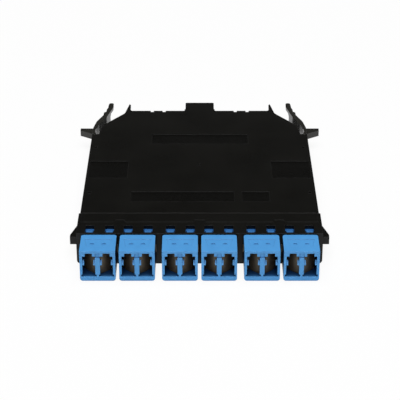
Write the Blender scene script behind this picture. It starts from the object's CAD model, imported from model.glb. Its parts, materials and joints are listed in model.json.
"""Looks of a twelve-fibre cassette: finishes, floor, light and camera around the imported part."""
import json
import logging
import math
from dataclasses import dataclass, field
from enum import Enum
from typing import Any, Dict, List, Mapping, Sequence, Tuple, Union

import bmesh
import bpy
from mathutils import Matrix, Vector


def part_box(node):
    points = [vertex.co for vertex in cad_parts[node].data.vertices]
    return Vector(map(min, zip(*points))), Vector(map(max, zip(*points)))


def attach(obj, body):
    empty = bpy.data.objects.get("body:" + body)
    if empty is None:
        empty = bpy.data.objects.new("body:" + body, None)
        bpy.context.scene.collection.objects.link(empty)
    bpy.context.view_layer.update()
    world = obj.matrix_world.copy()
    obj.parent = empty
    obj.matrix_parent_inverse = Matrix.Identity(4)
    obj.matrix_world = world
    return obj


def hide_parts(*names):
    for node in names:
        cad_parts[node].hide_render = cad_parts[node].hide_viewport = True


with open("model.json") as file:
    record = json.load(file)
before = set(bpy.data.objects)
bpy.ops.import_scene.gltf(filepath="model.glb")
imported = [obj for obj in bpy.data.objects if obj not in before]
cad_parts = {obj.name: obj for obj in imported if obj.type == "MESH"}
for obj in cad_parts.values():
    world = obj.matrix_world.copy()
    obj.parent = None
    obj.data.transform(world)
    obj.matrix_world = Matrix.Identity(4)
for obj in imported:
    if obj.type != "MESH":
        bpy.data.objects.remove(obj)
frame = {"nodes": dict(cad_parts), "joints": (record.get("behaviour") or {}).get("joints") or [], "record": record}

LOG = logging.getLogger("fibre_cassette")
MM = 0.001
BEND = "bend"

Colour = Tuple[float, float, float]
WHITE: Colour = (1.0, 1.0, 1.0)
BLACK: Colour = (0.0034, 0.0033, 0.0026)
Levels = Tuple[float, float]
Input = Union["Signal", float, int, Sequence[float]]


class Grain(Enum):
    """Direction in which a sheet was rolled, as repeats per millimetre along X, Y and Z."""

    ACROSS = (1.0, 14.0, 14.0)
    UPRIGHT = (14.0, 14.0, 1.0)


def scaled(colour: Colour, factor: float) -> Colour:
    """Lighter or darker version of a colour.

    Args:
        colour: The colour.
        factor: Share of its light that stays.

    Returns:
        The new colour, at most white.
    """
    red, green, blue = (min(1.0, value * factor) for value in colour)
    return red, green, blue


class Signal:
    """One node output that takes part in shader sums.

    Args:
        tree: The material tree that owns the output.
        socket: The output itself.
    """

    def __init__(self, tree: "MaterialTree", socket: bpy.types.NodeSocket) -> None:
        """Keep the tree and the output."""
        self.tree = tree
        self.socket = socket

    def _math(self, operation: str, first: Input, second: Input) -> "Signal":
        """Math node on two numbers."""
        return self.tree.node("ShaderNodeMath", {"operation": operation}, {0: first, 1: second})

    def __add__(self, other: Input) -> "Signal":
        """self + other."""
        return self._math("ADD", self, other)

    def __radd__(self, other: Input) -> "Signal":
        """other + self."""
        return self._math("ADD", other, self)

    def __sub__(self, other: Input) -> "Signal":
        """self - other."""
        return self._math("SUBTRACT", self, other)

    def __rsub__(self, other: Input) -> "Signal":
        """other - self."""
        return self._math("SUBTRACT", other, self)

    def __mul__(self, other: Input) -> "Signal":
        """self * other."""
        return self._math("MULTIPLY", self, other)

    def __rmul__(self, other: Input) -> "Signal":
        """other * self."""
        return self._math("MULTIPLY", other, self)

    def between(self, low: float, high: float) -> "Signal":
        """0 below low, 1 above high and a smooth rise between them.

        Args:
            low: Value at which the mask starts to rise.
            high: Value at which it is full.

        Returns:
            The mask.
        """
        settings = {"interpolation_type": "SMOOTHSTEP"}
        inputs = {0: self, 1: low, 2: high, 3: 0.0, 4: 1.0}
        return self.tree.node("ShaderNodeMapRange", settings, inputs)


class MaterialTree:
    """Node tree of a material or a world, emptied and then written as Python sums.

    Args:
        owner: The material or the world.
    """

    bevel_samples = 8
    sky_samples = 12
    edge_levels: Levels = (0.01, 0.22)
    facing_levels: Levels = (0.2, 0.8)
    cloud_detail = 3.0
    grain_fineness = 0.6

    def __init__(self, owner: Any) -> None:
        """Empty the owner's node tree and keep its nodes and links."""
        self.owner = owner
        owner.use_nodes = True
        self.nodes = owner.node_tree.nodes
        self.links = owner.node_tree.links
        self.nodes.clear()

    @classmethod
    def named(cls, name: str) -> "MaterialTree":
        """Tree of a new material.

        Args:
            name: Name of the material.

        Returns:
            The empty tree.
        """
        return cls(bpy.data.materials.new(name))

    def raw(
        self, kind: str, settings: Mapping[str, Any], inputs: Mapping[Any, Input]
    ) -> bpy.types.Node:
        """Make one node.

        Args:
            kind: Blender's node type.
            settings: Properties set before the sockets.
            inputs: Socket name or index to a number, a tuple or a signal.

        Returns:
            The node.
        """
        made = self.nodes.new(kind)
        for key, value in settings.items():
            setattr(made, key, value)
        for key, value in inputs.items():
            socket = made.inputs[key]
            if isinstance(value, Signal):
                self.links.new(value.socket, socket)
            elif socket.type == "RGBA" and len(value) == 3:
                socket.default_value = (*value, 1.0)
            else:
                socket.default_value = value
        return made

    def node(
        self, kind: str, settings: Mapping[str, Any], inputs: Mapping[Any, Input], output: Any = 0
    ) -> Signal:
        """Make one node and hand back one of its outputs.

        Args:
            kind: Blender's node type.
            settings: Properties set before the sockets.
            inputs: Socket name or index to its value.
            output: Name or index of the output wanted.

        Returns:
            That output.
        """
        return Signal(self, self.raw(kind, settings, inputs).outputs[output])

    def place(self) -> Signal:
        """Position on the part in metres."""
        return self.node("ShaderNodeTexCoord", {}, {}, "Object")

    def stretched(self, scale: Sequence[float]) -> Signal:
        """Position on the part, scaled along each axis.

        Args:
            scale: Repeats per millimetre along X, Y and Z.

        Returns:
            The scaled position.
        """
        factors = tuple(value / MM for value in scale)
        settings = {"operation": "MULTIPLY"}
        return self.node("ShaderNodeVectorMath", settings, {0: self.place(), 1: factors})

    def noise(self, scale: Sequence[float], detail: float = 2.0, fineness: float = 0.5) -> Signal:
        """Cloudy noise, from 0 to 1.

        Args:
            scale: Repeats per millimetre along each axis.
            detail: Octaves.
            fineness: Weight of the finer octaves.

        Returns:
            The noise value.
        """
        inputs = {
            "Vector": self.stretched(scale), "Scale": 1.0, "Detail": detail, "Roughness": fineness,
        }
        return self.node("ShaderNodeTexNoise", {}, inputs, "Fac")

    def blend(self, first: Input, second: Input, share: Input) -> Signal:
        """Colour between two colours.

        Args:
            first: Colour at a share of 0.
            second: Colour at a share of 1.
            share: Share of the second colour.

        Returns:
            The mixed colour.
        """
        inputs = {0: share, 6: first, 7: second}
        return self.node("ShaderNodeMix", {"data_type": "RGBA"}, inputs, 2)

    def soft_edges(self, radius: float) -> Tuple[Signal, Signal]:
        """Normal rounded at the edges, and a mask that is 1 along them.

        Args:
            radius: Rounding of the edges in metres.

        Returns:
            The rounded normal and the edge mask.
        """
        rounded = self.node("ShaderNodeBevel", {"samples": self.bevel_samples}, {"Radius": radius})
        flat = self.node("ShaderNodeNewGeometry", {}, {}, "True Normal")
        settings = {"operation": "DOT_PRODUCT"}
        facing = self.node("ShaderNodeVectorMath", settings, {0: rounded, 1: flat}, "Value")
        return rounded, (1.0 - facing).between(*self.edge_levels)

    def openness(self, distance: float) -> Signal:
        """How open the surface is: 1 on open faces and 0 deep inside a recess.

        Args:
            distance: How far neighbouring walls count, in metres.

        Returns:
            The share of open sky.
        """
        settings = {"samples": self.sky_samples}
        return self.node("ShaderNodeAmbientOcclusion", settings, {"Distance": distance}, "AO")

    def along(self, axis: str) -> Signal:
        """Position on the part along one axis, in metres.

        Args:
            axis: X, Y or Z.

        Returns:
            The coordinate.
        """
        apart = self.raw("ShaderNodeSeparateXYZ", {}, {"Vector": self.place()})
        return Signal(self, apart.outputs[axis])

    def facing(self, axis: str, sign: float) -> Signal:
        """1 on faces that look along one axis and 0 on all that look away.

        Args:
            axis: X, Y or Z.
            sign: 1.0 along the axis and -1.0 against it.

        Returns:
            The mask.
        """
        normal = self.node("ShaderNodeNewGeometry", {}, {}, "True Normal")
        apart = self.raw("ShaderNodeSeparateXYZ", {}, {"Vector": normal})
        return (Signal(self, apart.outputs[axis]) * sign).between(*self.facing_levels)

    def bump(self, height: Signal, strength: float, depth: float, normal: Signal) -> Signal:
        """Normal of a fine relief.

        Args:
            height: Relief from 0 to 1.
            strength: Strength of the effect.
            depth: Height of the relief in metres.
            normal: Normal that the relief sits on.

        Returns:
            The new normal.
        """
        inputs = {"Height": height, "Strength": strength, "Distance": depth, "Normal": normal}
        return self.node("ShaderNodeBump", {}, inputs)

    def surface(self, inputs: Mapping[str, Input]) -> bpy.types.Material:
        """Close the tree with a principled surface.

        Args:
            inputs: Sockets of the surface.

        Returns:
            The finished material.
        """
        shader = self.node("ShaderNodeBsdfPrincipled", {}, inputs)
        self.raw("ShaderNodeOutputMaterial", {}, {"Surface": shader})
        return self.owner


def turns_of(sides: int) -> List[float]:
    """Even turns of a full round.

    Args:
        sides: Number of turns.

    Returns:
        The angle of each, in radians.
    """
    return [2.0 * math.pi * i / sides for i in range(sides)]


@dataclass
class Shell:
    """Points and faces of one added piece, in metres."""

    points: List[Vector] = field(default_factory=list)
    faces: List[Tuple[int, ...]] = field(default_factory=list)
    sides: int = 24
    sharp: float = 40.0

    def loft(self, rings: Sequence[Sequence[Vector]]) -> None:
        """Join rings of equal length by quads and close both ends.

        Args:
            rings: Closed outlines, one after another.
        """
        base = len(self.points)
        count = len(rings[0])
        for ring in rings:
            self.points.extend(ring)
        for row in range(len(rings) - 1):
            near = base + row * count
            far = near + count
            for i in range(count):
                after = (i + 1) % count
                self.faces.append((near + i, near + after, far + after, far + i))
        last = base + (len(rings) - 1) * count
        self.faces.append(tuple(range(base + count - 1, base - 1, -1)))
        self.faces.append(tuple(range(last, last + count)))

    def turned(self, x: float, z: float, profile: Sequence[Tuple[float, float]]) -> None:
        """Round body along Y.

        Args:
            x: Axis across the part.
            z: Height of the axis.
            profile: Stations as (y, radius).
        """
        turns = turns_of(self.sides)
        self.loft([
            [Vector((x + radius * math.sin(t), y, z + radius * math.cos(t))) for t in turns]
            for y, radius in profile
        ])

    def piece(
        self, name: str, body: str, material: bpy.types.Material
    ) -> bpy.types.Object:
        """Make the piece and let it ride on its body.

        Args:
            name: Name of the piece.
            body: CAD body that carries it.
            material: Its finish.

        Returns:
            The new object.
        """
        mesh = bpy.data.meshes.new(name)
        mesh.from_pydata([tuple(point) for point in self.points], [], self.faces)
        outward = bmesh.new()
        outward.from_mesh(mesh)
        bmesh.ops.recalc_face_normals(outward, faces=outward.faces)
        outward.to_mesh(mesh)
        outward.free()
        mesh.shade_smooth()
        mesh.set_sharp_from_angle(angle=math.radians(self.sharp))
        mesh.materials.append(material)
        made = bpy.data.objects.new(name, mesh)
        bpy.context.scene.collection.objects.link(made)
        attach(made, body)
        LOG.info("%s: %d faces on %s", name, len(self.faces), body)
        return made


@dataclass(frozen=True)
class Finish:
    """A named finish.

    The last word of most values says what they are: levels between which a mask rises, the
    share of a blend, the tone that scales a colour, the scale of a noise in repeats per
    millimetre and its fineness, the strength of a relief, uneven for how far the roughness
    changes, or a reach, radius, depth, height, drop, gap or blur in metres.
    """

    name: str
    colour: Colour

    def build(self) -> bpy.types.Material:
        """Make the material."""
        raise NotImplementedError


@dataclass(frozen=True)
class GrainedPlastic(Finish):
    """Moulded plastic with a spark-eroded grain, dust in it and edges polished by hands."""

    edge: Colour = (0.01, 0.0095, 0.0085)
    edge_share: float = 0.2
    edge_radius: float = 0.2 * MM
    dust: Colour = (0.05, 0.048, 0.042)
    dust_share: float = 0.7
    dust_scale: float = 2.2
    dust_fineness: float = 0.7
    dust_levels: Levels = (0.7, 0.78)
    roughness: float = 0.3
    gloss: float = 0.25
    cloud_scale: float = 0.06
    cloud_levels: Levels = (0.35, 0.65)
    cloud_tone: float = 1.3
    cloud_uneven: float = 0.1
    grain_scale: float = 9.0
    grain_uneven: float = 0.1
    grain_strength: float = 0.3
    grain_depth: float = 0.03 * MM
    recess_reach: float = 1.2 * MM
    recess_levels: Levels = (0.45, 0.95)
    recess_tone: float = 0.4
    recess_uneven: float = 0.35
    panels: bool = False
    panel_drops: Levels = (0.2 * MM, 0.05 * MM)
    panel_tone: float = 0.8
    panel_uneven: float = 0.03

    def build(self) -> bpy.types.Material:
        """Make the material.

        Returns:
            A dark matt plastic.
        """
        tree = MaterialTree.named(self.name)
        rounded, edges = tree.soft_edges(self.edge_radius)
        open_share = tree.openness(self.recess_reach).between(*self.recess_levels)
        cloud = tree.noise((self.cloud_scale,) * 3, detail=tree.cloud_detail)
        grain = tree.noise((self.grain_scale,) * 3, fineness=tree.grain_fineness)
        fleck = tree.noise((self.dust_scale,) * 3, fineness=self.dust_fineness)
        pale = scaled(self.colour, self.cloud_tone)
        tone = tree.blend(self.colour, pale, cloud.between(*self.cloud_levels))
        tone = tree.blend(tone, self.dust, fleck.between(*self.dust_levels) * self.dust_share)
        tone = tree.blend(tone, self.edge, edges * open_share * self.edge_share)
        tone = tree.blend(scaled(self.colour, self.recess_tone), tone, open_share)
        rough = self.roughness + (cloud - 0.5) * self.cloud_uneven
        rough = rough + (grain - 0.5) * self.grain_uneven + (1.0 - open_share) * self.recess_uneven
        if self.panels:
            low, high = (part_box("top_cover")[1].z - drop for drop in self.panel_drops)
            panel = 1.0 - tree.along("Z").between(low, high)
            tone = tree.blend(tone, scaled(self.colour, self.panel_tone), panel)
            rough = rough - panel * self.panel_uneven
        normal = tree.bump(grain, self.grain_strength, self.grain_depth, rounded)
        return tree.surface({
            "Base Color": tone, "Roughness": rough, "Specular IOR Level": self.gloss,
            "Normal": normal,
        })


@dataclass(frozen=True)
class SatinPlastic(Finish):
    """Coloured moulding with soft flow marks, lighter edges and, on the ports, dark recesses."""

    deep: Colour = (0.02, 0.11, 0.34)
    edge: Colour = (0.13, 0.42, 0.8)
    edge_share: float = 0.6
    edge_radius: float = 0.25 * MM
    roughness: float = 0.42
    gloss: float = 0.35
    flow_scale: Tuple[float, float, float] = (0.25, 0.09, 0.25)
    flow_levels: Levels = (0.35, 0.9)
    flow_fineness: float = 0.55
    flow_share: float = 0.15
    flow_uneven: float = 0.14
    grain_scale: float = 6.0
    grain_uneven: float = 0.08
    grain_strength: float = 0.22
    grain_depth: float = 0.02 * MM
    recess_reach: float = 0.0
    recess_levels: Levels = (0.25, 0.8)
    dark_levels: Levels = (0.12, 0.55)
    dark_tone: float = 0.25
    front_share: float = 0.85
    crease_reach: float = 0.6 * MM
    crease_levels: Levels = (0.5, 0.95)
    crease_share: float = 0.5
    face_gap: float = 0.25 * MM
    face_blur: float = 0.1 * MM
    behind_share: float = 0.75
    floor_height: float = 2.4 * MM
    floor_blur: float = 0.2 * MM
    floor_gaps: Levels = (0.05 * MM, 2.15 * MM)
    floor_tone: float = 0.3
    floor_share: float = 0.8
    floor_front_share: float = 0.45

    def recesses(self, tree: MaterialTree, tone: Signal) -> Signal:
        """Darken a port's inside, its creases and what lies behind the bezel.

        Args:
            tree: Tree of the material.
            tone: Colour of the open faces.

        Returns:
            The darkened colour.
        """
        open_share = tree.openness(self.recess_reach)
        open_share = open_share + (1.0 - open_share) * tree.facing("Y", -1.0) * self.front_share
        tone = tree.blend(self.deep, tone, open_share.between(*self.recess_levels))
        dark = scaled(self.deep, self.dark_tone)
        tone = tree.blend(dark, tone, open_share.between(*self.dark_levels))
        creases = 1.0 - tree.openness(self.crease_reach).between(*self.crease_levels)
        tone = tree.blend(tone, self.deep, creases * self.crease_share)
        depth = tree.along("Y")
        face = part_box("front_bezel")[0].y + self.face_gap
        behind = depth.between(face - self.face_blur, face)
        tone = tree.blend(tone, self.deep, behind * self.behind_share)
        low = 1.0 - tree.along("Z").between(self.floor_height, self.floor_height + self.floor_blur)
        start, end = (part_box("lc_adapter_1")[0].y + gap for gap in self.floor_gaps)
        near = self.floor_front_share
        inward = near + depth.between(start, end) * (1.0 - near)
        shaded = low * tree.facing("Z", 1.0) * inward
        return tree.blend(tone, scaled(self.deep, self.floor_tone), shaded * self.floor_share)

    def build(self) -> bpy.types.Material:
        """Make the material.

        Returns:
            A satin coloured plastic.
        """
        tree = MaterialTree.named(self.name)
        rounded, edges = tree.soft_edges(self.edge_radius)
        flow = tree.noise(self.flow_scale, tree.cloud_detail, self.flow_fineness)
        grain = tree.noise((self.grain_scale,) * 3, fineness=tree.grain_fineness)
        marks = (1.0 - flow).between(*self.flow_levels) * self.flow_share
        tone = tree.blend(self.colour, self.deep, marks)
        tone = tree.blend(tone, self.edge, edges * self.edge_share)
        if self.recess_reach > 0:
            tone = self.recesses(tree, tone)
        rough = self.roughness + (flow - 0.5) * self.flow_uneven
        rough = rough + (grain - 0.5) * self.grain_uneven
        normal = tree.bump(grain, self.grain_strength, self.grain_depth, rounded)
        return tree.surface({
            "Base Color": tone, "Roughness": rough, "Specular IOR Level": self.gloss,
            "Normal": normal,
        })


@dataclass(frozen=True)
class RolledSteel(Finish):
    """Thin spring sheet with its rolling lines, rubbed bright where it bends."""

    lines: Grain = Grain.UPRIGHT
    line_uneven: float = 0.25
    line_strength: float = 0.25
    line_depth: float = 0.01 * MM
    shade: Colour = (0.1, 0.09, 0.075)
    stain_scale: float = 0.5
    stain_levels: Levels = (0.4, 0.7)
    stain_share: float = 0.6
    bright: Colour = (0.4, 0.34, 0.24)
    bright_share: float = 0.75
    metal: float = 1.0
    roughness: float = 0.34
    edge_tone: float = 1.6
    edge_share: float = 0.5
    edge_radius: float = 0.06 * MM

    def build(self) -> bpy.types.Material:
        """Make the material.

        Returns:
            A rolled metal.
        """
        tree = MaterialTree.named(self.name)
        rounded, edges = tree.soft_edges(self.edge_radius)
        lines = tree.noise(self.lines.value, detail=tree.cloud_detail, fineness=tree.grain_fineness)
        stain = tree.noise((self.stain_scale,) * 3, detail=tree.cloud_detail)
        stained = stain.between(*self.stain_levels) * self.stain_share
        tone = tree.blend(self.colour, self.shade, stained)
        tone = tree.blend(tone, scaled(self.colour, self.edge_tone), edges * self.edge_share)
        bend = tree.node("ShaderNodeAttribute", {"attribute_name": BEND}, {}, "Fac")
        tone = tree.blend(tone, self.bright, bend * self.bright_share)
        rough = self.roughness + (lines - 0.5) * self.line_uneven
        normal = tree.bump(lines, self.line_strength, self.line_depth, rounded)
        return tree.surface(
            {"Base Color": tone, "Metallic": self.metal, "Roughness": rough, "Normal": normal}
        )


@dataclass(frozen=True)
class PolishedCeramic(Finish):
    """Ground and polished zirconia."""

    roughness: float = 0.16
    edge_uneven: float = 0.1
    edge_radius: float = 0.05 * MM
    cloud_scale: float = 1.2
    cloud_levels: Levels = (0.4, 0.7)
    cloud_tone: float = 0.9
    cloud_uneven: float = 0.08

    def build(self) -> bpy.types.Material:
        """Make the material.

        Returns:
            A glossy off-white ceramic.
        """
        tree = MaterialTree.named(self.name)
        rounded, edges = tree.soft_edges(self.edge_radius)
        cloud = tree.noise((self.cloud_scale,) * 3, detail=tree.cloud_detail)
        dull = scaled(self.colour, self.cloud_tone)
        tone = tree.blend(self.colour, dull, cloud.between(*self.cloud_levels))
        rough = self.roughness + (cloud - 0.5) * self.cloud_uneven + edges * self.edge_uneven
        return tree.surface({"Base Color": tone, "Roughness": rough, "Normal": rounded})


@dataclass(frozen=True)
class Finishes:
    """Every finish of the cassette, by the record's slot."""

    housing: GrainedPlastic = GrainedPlastic("black_moulding", BLACK)
    lid: GrainedPlastic = GrainedPlastic("lid_black", BLACK, panels=True)
    grip: GrainedPlastic = GrainedPlastic(
        "lever_black", (0.017, 0.0165, 0.014), edge=(0.03, 0.029, 0.026),
        roughness=0.22, gloss=0.45, grain_strength=0.05,
    )
    ports: SatinPlastic = SatinPlastic(
        "blue_moulding", (0.077, 0.325, 0.7), recess_reach=6.5 * MM
    )
    leaves: RolledSteel = RolledSteel(
        "shutter_steel", (0.1, 0.078, 0.052), shade=(0.07, 0.056, 0.04), metal=0.5, roughness=0.38
    )
    clips: RolledSteel = RolledSteel(
        "clip_steel", (0.22, 0.2, 0.16), lines=Grain.ACROSS, shade=(0.12, 0.11, 0.09)
    )
    sleeves: PolishedCeramic = PolishedCeramic("ceramic", (0.86, 0.85, 0.8))
    plugs: SatinPlastic = SatinPlastic("plug_blue", (0.06, 0.22, 0.5))
    rear_plug: SatinPlastic = SatinPlastic(
        "plug_green", (0.04, 0.3, 0.12), deep=(0.02, 0.16, 0.06), edge=(0.1, 0.45, 0.2)
    )
    jackets: SatinPlastic = SatinPlastic(
        "fibre_jacket", (0.7, 0.55, 0.07), deep=(0.5, 0.36, 0.04), edge=(0.85, 0.72, 0.2),
        roughness=0.5,
    )
    block: SatinPlastic = SatinPlastic(
        "white_moulding", (0.72, 0.72, 0.68), deep=(0.6, 0.6, 0.56), edge=(0.85, 0.85, 0.82)
    )

    def all(self) -> List[Finish]:
        """Every finish once."""
        return [
            self.housing, self.lid, self.grip, self.ports, self.leaves, self.clips, self.sleeves,
            self.plugs, self.rear_plug, self.jackets, self.block,
        ]

    def make(self) -> Dict[str, bpy.types.Material]:
        """Build every material, by its slot."""
        return {finish.name: finish.build() for finish in self.all()}

    def dress(self, record: Mapping[str, Any], made: Mapping[str, bpy.types.Material]) -> None:
        """Give every CAD node the material of its slot.

        Args:
            record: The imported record.
            made: Materials by slot.
        """
        special = {
            "top_cover": self.lid.name, "lever_left": self.grip.name, "lever_right": self.grip.name,
        }
        for entry in record["subparts"]:
            name = special.get(entry["node"], entry["material_slot"])
            for slot in frame["nodes"][entry["node"]].material_slots:
                slot.material = made[name]
            LOG.info("%s is finished in %s", entry["node"], name)


@dataclass
class ShutterRow:
    """Twelve sprung leaves with a rolled hinge edge and rounded free corners."""

    materials: Mapping[str, bpy.types.Material]
    slot: str = "shutter_steel"
    prefix: str = "shutter_"
    slant: float = 43.0
    roll: float = 0.22 * MM
    roll_start: float = 90.0
    roll_step: float = 18.0
    roll_steps: int = 10
    sheet: float = 0.2 * MM
    root: float = 0.5 * MM
    reach: float = 5.97 * MM
    bow: float = 0.26 * MM
    nose_reach: float = 0.7
    nose_width: float = 0.5
    end_gap: float = 0.7 * MM
    corner: float = 0.7 * MM
    corner_step: float = 18.0
    corner_steps: int = 5
    ear: float = 0.14 * MM
    ear_sides: int = 12
    columns: int = 16
    levels: int = 8
    worn_reach: float = 0.5
    worn_height: float = 0.6

    def section(self, reach: float) -> List[Tuple[float, float]]:
        """Closed outline of the leaf seen from above, from the hinge outwards.

        Args:
            reach: Distance of the free edge from the hinge.

        Returns:
            Points as (along the leaf, across it).
        """
        half = self.sheet / 2
        steps = range(self.roll_steps + 1)
        turns = [math.radians(self.roll_start + self.roll_step * i) for i in steps]
        barrel = [(self.roll * math.cos(turn), self.roll * math.sin(turn)) for turn in turns]
        front, back = [], []
        for i in range(self.columns + 1):
            step = i / self.columns
            along = self.root + (reach - self.root) * step
            middle = -self.bow * math.sin(math.pi * step)
            front.append((along, middle - half))
            back.append((along, middle + half))
        tip = reach + half * self.nose_reach
        nose = [(tip, -half * self.nose_width), (tip, half * self.nose_width)]
        return barrel + front + nose + back[::-1]

    def worn(self, along: float, rise: float) -> float:
        """How bright the leaf is rubbed, most beside the hinge and above the middle.

        Args:
            along: Distance from the hinge.
            rise: Height on the leaf, from 0 to 1.

        Returns:
            A share from 0 to 1.
        """
        near = max(0.0, 1.0 - abs(along) / (self.worn_reach * self.reach))
        return near * max(0.0, 1.0 - abs(rise - self.worn_height) / self.worn_height)

    def heights(self, low: float, high: float) -> List[Tuple[float, float]]:
        """Levels of the leaf and how far its free edge draws in at each.

        Args:
            low: Foot of the sheet.
            high: Head of the sheet.

        Returns:
            Pairs of height and draw-in.
        """
        size = self.corner
        arcs = [math.radians(self.corner_step * i) for i in range(self.corner_steps + 1)]
        foot = [(low + size * (1 - math.sin(a)), size * (1 - math.cos(a))) for a in reversed(arcs)]
        head = [(high - size * (1 - math.sin(a)), size * (1 - math.cos(a))) for a in arcs]
        start, end = low + size, high - size
        middle = [(start + (end - start) * i / self.levels, 0.0) for i in range(1, self.levels)]
        return foot + middle + head

    def ears(self, shell: Shell, x: float, y: float, ends: Sequence[float]) -> None:
        """Round pin on which the leaf turns.

        Args:
            shell: Shell that takes the pin.
            x: Hinge across the part.
            y: Hinge along the part.
            ends: Foot and head of the pin.
        """
        turns = turns_of(self.ear_sides)
        shell.loft([
            [Vector((x + self.ear * math.cos(t), y + self.ear * math.sin(t), z)) for t in turns]
            for z in ends
        ])

    def leaf(self, joint: Mapping[str, Any]) -> None:
        """Make one leaf about its own hinge.

        Args:
            joint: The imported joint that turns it.
        """
        node = joint["child"]
        side = joint["axis"][2]
        x, y, _ = joint["pos_m"]
        low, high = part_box(node)
        lean = math.radians(self.slant)
        shell = Shell()
        rings = []
        wear: List[float] = []
        for z, drawn in self.heights(low.z + self.end_gap, high.z - self.end_gap):
            section = self.section(self.reach - drawn)
            rise = (z - low.z) / (high.z - low.z)
            wear.extend(self.worn(u, rise) for u, _ in section)
            rings.append([
                Vector((
                    x + side * (u * math.cos(lean) - w * math.sin(lean)),
                    y + u * math.sin(lean) + w * math.cos(lean), z,
                ))
                for u, w in section
            ])
        shell.loft(rings)
        self.ears(shell, x, y, (low.z, high.z))
        rank = node[len(self.prefix):]
        made = shell.piece(f"leaf_{rank}", node, self.materials[self.slot])
        wear.extend([0.0] * (len(shell.points) - len(wear)))
        made.data.attributes.new(BEND, "FLOAT", "POINT").data.foreach_set("value", wear)
        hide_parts(node)

    def build(self) -> None:
        """Make every leaf."""
        for joint in frame["joints"]:
            if joint["child"].startswith(self.prefix):
                self.leaf(joint)


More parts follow.
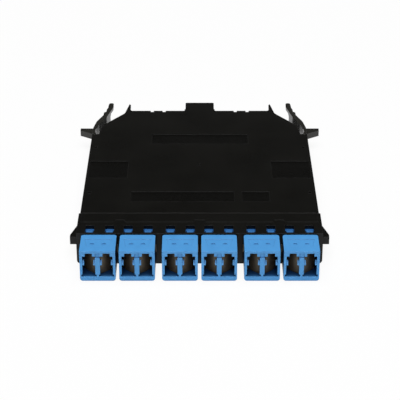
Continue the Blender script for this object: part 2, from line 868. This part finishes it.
@dataclass
class FibreTray:
    """Inner plugs, split sleeves and the fan of jacketed fibres."""

    materials: Mapping[str, bpy.types.Material]
    prefix: str = "lc_plug_"
    fibre_radius: float = 0.42 * MM
    fibre_sides: int = 14
    fan_pitch: float = 1.0 * MM
    stagger: float = 1.0 * MM
    lead: float = 6.5 * MM
    bend: float = 10.0 * MM
    bend_steps: int = 10
    straight: float = 1e-4
    ferrule: float = 0.6 * MM
    ferrule_reach: float = 1.6 * MM
    ferrule_tip: float = 0.2 * MM
    ferrule_nose: float = 0.8
    sleeve: float = 0.8 * MM
    sleeve_bore: float = 0.62 * MM
    sleeve_split: float = 18.0
    sleeve_sides: int = 28
    sleeve_chamfer: float = 0.08 * MM
    plug_width: float = 4.4 * MM
    plug_length: float = 16.4 * MM
    corner_cut: float = 0.35 * MM
    front_chamfer: float = 0.15 * MM
    rear_chamfer: float = 0.3 * MM
    seat: float = 0.1 * MM
    bore: float = 1.75 * MM
    bore_depth: float = 3.2 * MM
    boot_start: float = 1.45 * MM
    boot_end: float = 0.72 * MM
    boot_rings: int = 7
    boot_steps: int = 4
    boot_low_steps: Tuple[int, int] = (1, 2)
    boot_groove: float = 0.22 * MM
    latch_root: float = 0.6 * MM
    latch_back: float = 3.0 * MM
    latch_flat: float = 4.0 * MM
    latch_width: float = 2.2 * MM
    latch_sheet: float = 0.8 * MM
    latch_foot: float = 3.2 * MM
    latch_rise: float = 3.0 * MM

    def axis_height(self) -> float:
        """Height of the fibres above the table."""
        low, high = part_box("fibre_fan")
        return (low.z + high.z) / 2

    def plug_ring(self, x: float, y: float, z: float, size: float) -> List[Vector]:
        """Square section of a plug with cut corners.

        Args:
            x: Axis of the plug across the part.
            y: Place of the section.
            z: Height of the axis.
            size: Half the width of the section.

        Returns:
            Its eight corners.
        """
        near = size - self.corner_cut
        plan = [
            (-near, -size), (near, -size), (size, -near), (size, near),
            (near, size), (-near, size), (-size, near), (-size, -near),
        ]
        return [Vector((x + u, y, z + w)) for u, w in plan]

    def plug_body(self, shell: Shell, x: float, z: float, front: float, rear: float) -> None:
        """Square body with the bore that takes the sleeve.

        Args:
            shell: Shell that takes the body.
            x: Axis of the plug across the part.
            z: Height of the axis.
            front: Front face.
            rear: Rear face.
        """
        half = self.plug_width / 2
        stations = (
            (rear, self.rear_chamfer), (rear - self.rear_chamfer, 0.0),
            (front + self.front_chamfer, 0.0), (front, self.front_chamfer),
        )
        rings = [self.plug_ring(x, y, z, half - inset) for y, inset in stations]
        out = [Vector((point.x - x, 0.0, point.z - z)).normalized() for point in rings[-1]]
        for y in (front, front + self.bore_depth):
            rings.append([Vector((x, y, z)) + way * self.bore for way in out])
        shell.loft(rings)

    def plug_boot(self, shell: Shell, x: float, z: float, rear: float, end: float) -> None:
        """Ringed boot that tapers to the fibre.

        Args:
            shell: Shell that takes the boot.
            x: Axis of the plug across the part.
            z: Height of the axis.
            rear: Rear face of the body.
            end: Rear end of the boot.
        """
        start = rear - self.seat
        steps = self.boot_rings * self.boot_steps
        profile = []
        for i in range(steps + 1):
            share = i / steps
            radius = self.boot_start + (self.boot_end - self.boot_start) * share
            groove = self.boot_groove if i % self.boot_steps in self.boot_low_steps else 0.0
            profile.append((start + (end - start) * share, radius - groove))
        shell.turned(x, z, profile)

    def plug_latch(self, shell: Shell, x: float, top: float, front: float, rear: float) -> None:
        """Springy latch arm above the body.

        Args:
            shell: Shell that takes the arm.
            x: Axis of the plug across the part.
            top: Top of the body.
            front: Front face of the body.
            rear: Rear face of the body.
        """
        root = front + self.latch_root
        flat_rear = rear - self.latch_back
        flat_front = flat_rear - self.latch_flat
        sheet, foot, head = self.latch_sheet, top - self.seat, top + self.latch_rise
        arm = [
            (root, foot), (root + sheet, top + sheet), (flat_front, head), (flat_rear, head),
            (flat_rear, head - sheet), (flat_front, head - sheet), (root + self.latch_foot, foot),
        ]
        reach = self.latch_width / 2
        shell.loft([[Vector((x + u, y, h)) for y, h in arm] for u in (-reach, reach)])

    def plug(self, node: str) -> None:
        """One inner plug with its bore, ferrule, latch and ringed boot.

        Args:
            node: CAD node that it stands for.
        """
        low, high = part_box(node)
        x, z = (low.x + high.x) / 2, self.axis_height()
        front = low.y + self.ferrule_reach
        rear = front + self.plug_length
        shell = Shell()
        self.plug_body(shell, x, z, front, rear)
        tip = low.y + self.ferrule_tip
        end = front + self.bore_depth + self.seat
        nose = self.ferrule * self.ferrule_nose
        shell.turned(x, z, [(low.y, nose), (tip, self.ferrule), (end, self.ferrule)])
        self.plug_boot(shell, x, z, rear, high.y)
        self.plug_latch(shell, x, z + self.plug_width / 2, front, rear)
        rank = node[len(self.prefix):]
        self.finish(shell, f"inner_plug_{rank}", "plug_blue", node)

    def finish(self, shell: Shell, name: str, slot: str, node: str) -> None:
        """Make a piece of the tray that stands for a CAD node.

        Args:
            shell: Points and faces of the piece.
            name: Name of the piece.
            slot: Material slot of the record.
            node: CAD node that it stands for.
        """
        made = shell.piece(name, "cassette", self.materials[slot])
        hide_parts(node)

    def sleeves(self) -> None:
        """Twelve split ceramic tubes, one for each port."""
        low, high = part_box("alignment_sleeves")
        z = self.axis_height()
        gap = math.radians(self.sleeve_split / 2)
        sides, cut, bore = self.sleeve_sides, self.sleeve_chamfer, self.sleeve_bore
        turns = [gap + (2.0 * math.pi - 2.0 * gap) * i / sides for i in range(sides + 1)]
        stations = ((low.y, cut), (low.y + cut, 0.0), (high.y - cut, 0.0), (high.y, cut))
        shell = Shell()
        for x in self.port_centres():
            rings = []
            for y, trim in stations:
                sweep = [(self.sleeve - trim, turn) for turn in turns]
                sweep += [(bore, turn) for turn in reversed(turns)]
                rings.append([
                    Vector((x + r * math.sin(t), y, z + r * math.cos(t))) for r, t in sweep
                ])
            shell.loft(rings)
        self.finish(shell, "split_sleeves", "ceramic", "alignment_sleeves")

    def port_centres(self) -> List[float]:
        """Place of every port across the part, from left to right."""
        names = [name for name in frame["nodes"] if name.startswith(self.prefix)]
        boxes = [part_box(name) for name in names]
        return sorted((low.x + high.x) / 2 for low, high in boxes)

    def bent(self, before: Vector, corner: Vector, after: Vector) -> List[Vector]:
        """Arc that rounds one corner of a level route.

        Args:
            before: Point before the corner.
            corner: The corner.
            after: Point after it.

        Returns:
            Points along the arc.
        """
        first = (before - corner).normalized()
        last = (after - corner).normalized()
        turn = math.pi - first.angle(last)
        if turn < self.straight:
            return [corner]
        reach = self.bend * math.tan(turn / 2)
        start, end = corner + first * reach, corner + last * reach
        points = []
        for i in range(self.bend_steps + 1):
            share = i / self.bend_steps
            rest = 1 - share
            points.append(start * rest ** 2 + corner * (2 * share * rest) + end * share ** 2)
        return points

    def fibres(self) -> None:
        """Twelve fibres from the fan-out block to their boots."""
        low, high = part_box("fibre_fan")
        z = self.axis_height()
        front, rear = low.y, high.y
        shell = Shell()
        ends = [x for x in self.port_centres() if x > 0]
        for side in (-1, 1):
            for rank, x_end in enumerate(ends):
                x_start = (rank + 0.5) * self.fan_pitch
                back = rear - self.lead - (len(ends) - 1 - rank) * self.stagger
                start = Vector((side * x_start, rear, z))
                leave = Vector((side * x_start, back, z))
                arrive = Vector((side * x_end, front + self.lead, z))
                end = Vector((side * x_end, front, z))
                bends = self.bent(start, leave, arrive) + self.bent(leave, arrive, end)
                self.tube(shell, [start, *bends, end])
        self.finish(shell, "fibre_jackets", "fibre_jacket", "fibre_fan")

    def tube(self, shell: Shell, route: Sequence[Vector]) -> None:
        """Round jacket along a level route.

        Args:
            shell: Shell that takes the jacket.
            route: Points of its middle line.
        """
        radius, turns = self.fibre_radius, turns_of(self.fibre_sides)
        rings = []
        for i, point in enumerate(route):
            before = route[max(0, i - 1)]
            after = route[min(len(route) - 1, i + 1)]
            along = (after - before).normalized()
            across = Vector((along.y, -along.x, 0.0))
            rings.append([
                point + across * (radius * math.sin(t)) + Vector((0, 0, radius * math.cos(t)))
                for t in turns
            ])
        shell.loft(rings)

    def build(self) -> None:
        """Make everything that lies in the tray."""
        for node in sorted(frame["nodes"]):
            if node.startswith(self.prefix):
                self.plug(node)
        self.sleeves()
        self.fibres()


@dataclass
class Studio:
    """White table, large soft lamps and the camera."""

    floor_size: float = 14.0
    floor_bounce: float = 0.9
    floor_drop: float = 0.02 * MM
    floor_shadow_share: float = 0.1
    world_level: float = 0.02
    horizon_level: float = 0.32
    horizon_rise: Levels = (0.12, 0.34)
    lamp_place: Tuple[float, float, float] = (0.0, -0.1, 1.5)
    lamp_power: float = 22.0
    fill_place: Tuple[float, float, float] = (0.0, -1.5, 1.5)
    fill_power: float = 14.5
    lamp_size: float = 1.3
    camera_place: Tuple[float, float, float] = (0.00015, -0.5207, 0.2698)
    camera_elevation: float = 27.483
    lens: float = 134.33
    sensor_width: float = 36.0

    def floor_material(self) -> bpy.types.Material:
        """White table that looks white, also in reflections, and keeps a faint shadow.

        Returns:
            The table's material.
        """
        tree = MaterialTree.named("table_white")
        ray = tree.raw("ShaderNodeLightPath", {}, {})
        kinds = ("Is Camera Ray", "Is Glossy Ray", "Is Transmission Ray")
        eye, glossy, through = (Signal(tree, ray.outputs[kind]) for kind in kinds)
        seen = (eye + glossy + through).between(0.0, 1.0)
        glow = tree.node("ShaderNodeEmission", {}, {"Color": WHITE, "Strength": 1.0})
        matt = tree.node("ShaderNodeBsdfDiffuse", {}, {"Color": (self.floor_bounce,) * 3})
        share = seen * (1.0 - self.floor_shadow_share)
        mixed = tree.node("ShaderNodeMixShader", {}, {0: share, 1: matt, 2: glow})
        tree.raw("ShaderNodeOutputMaterial", {}, {"Surface": mixed})
        return tree.owner

    def floor(self) -> None:
        """Lay the table under the part."""
        half = self.floor_size / 2
        mesh = bpy.data.meshes.new("table")
        plan = ((-half, -half), (half, -half), (half, half), (-half, half))
        mesh.from_pydata([(x, y, -self.floor_drop) for x, y in plan], [], [(0, 1, 2, 3)])
        table = bpy.data.objects.new("table", mesh)
        bpy.context.scene.collection.objects.link(table)
        mesh.materials.append(self.floor_material())

    def lamp(self, name: str, place: Sequence[float], power: float) -> None:
        """Hang one soft lamp that faces the part.

        Args:
            name: Name of the lamp.
            place: Where it hangs, in metres.
            power: Its power in watts.
        """
        light = bpy.data.lights.new(name, "AREA")
        light.shape = "SQUARE"
        light.size = self.lamp_size
        light.energy = power
        lamp = bpy.data.objects.new(name, light)
        lamp.location = place
        lamp.rotation_euler = (-Vector(place)).to_track_quat("-Z", "Y").to_euler()
        bpy.context.scene.collection.objects.link(lamp)

    def lamps(self) -> None:
        """Hang the lamp overhead and the fill in front."""
        self.lamp("overhead", self.lamp_place, self.lamp_power)
        self.lamp("front_fill", self.fill_place, self.fill_power)

    def world(self) -> None:
        """Dim grey room with a paler band above the table's far edge."""
        world = bpy.data.worlds.new("room")
        tree = MaterialTree(world)
        way = tree.node("ShaderNodeTexCoord", {}, {}, "Generated")
        apart = tree.raw("ShaderNodeSeparateXYZ", {}, {"Vector": way})
        band = 1.0 - Signal(tree, apart.outputs["Z"]).between(*self.horizon_rise)
        level = self.world_level + (self.horizon_level - self.world_level) * band
        glow = tree.node("ShaderNodeBackground", {}, {"Color": WHITE, "Strength": level})
        tree.raw("ShaderNodeOutputWorld", {}, {"Surface": glow})
        bpy.context.scene.world = world

    def camera(self) -> None:
        """Set up the camera."""
        data = bpy.data.cameras.new("camera")
        data.lens = self.lens
        data.sensor_width = self.sensor_width
        camera = bpy.data.objects.new("camera", data)
        camera.location = self.camera_place
        camera.rotation_euler = (math.radians(90.0 - self.camera_elevation), 0.0, 0.0)
        bpy.context.scene.collection.objects.link(camera)
        bpy.context.scene.camera = camera

    def build(self) -> None:
        """Set up the whole studio."""
        self.floor()
        self.lamps()
        self.world()
        self.camera()
        bpy.context.scene.view_settings.view_transform = "Standard"


def main() -> None:
    """Build every class in order and report each piece."""
    logging.basicConfig(level=logging.INFO)
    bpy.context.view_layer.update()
    finishes = Finishes()
    made = finishes.make()
    finishes.dress(frame["record"], made)
    ShutterRow(made).build()
    FibreTray(made).build()
    Studio().build()


if __name__ == "__main__":
    main()
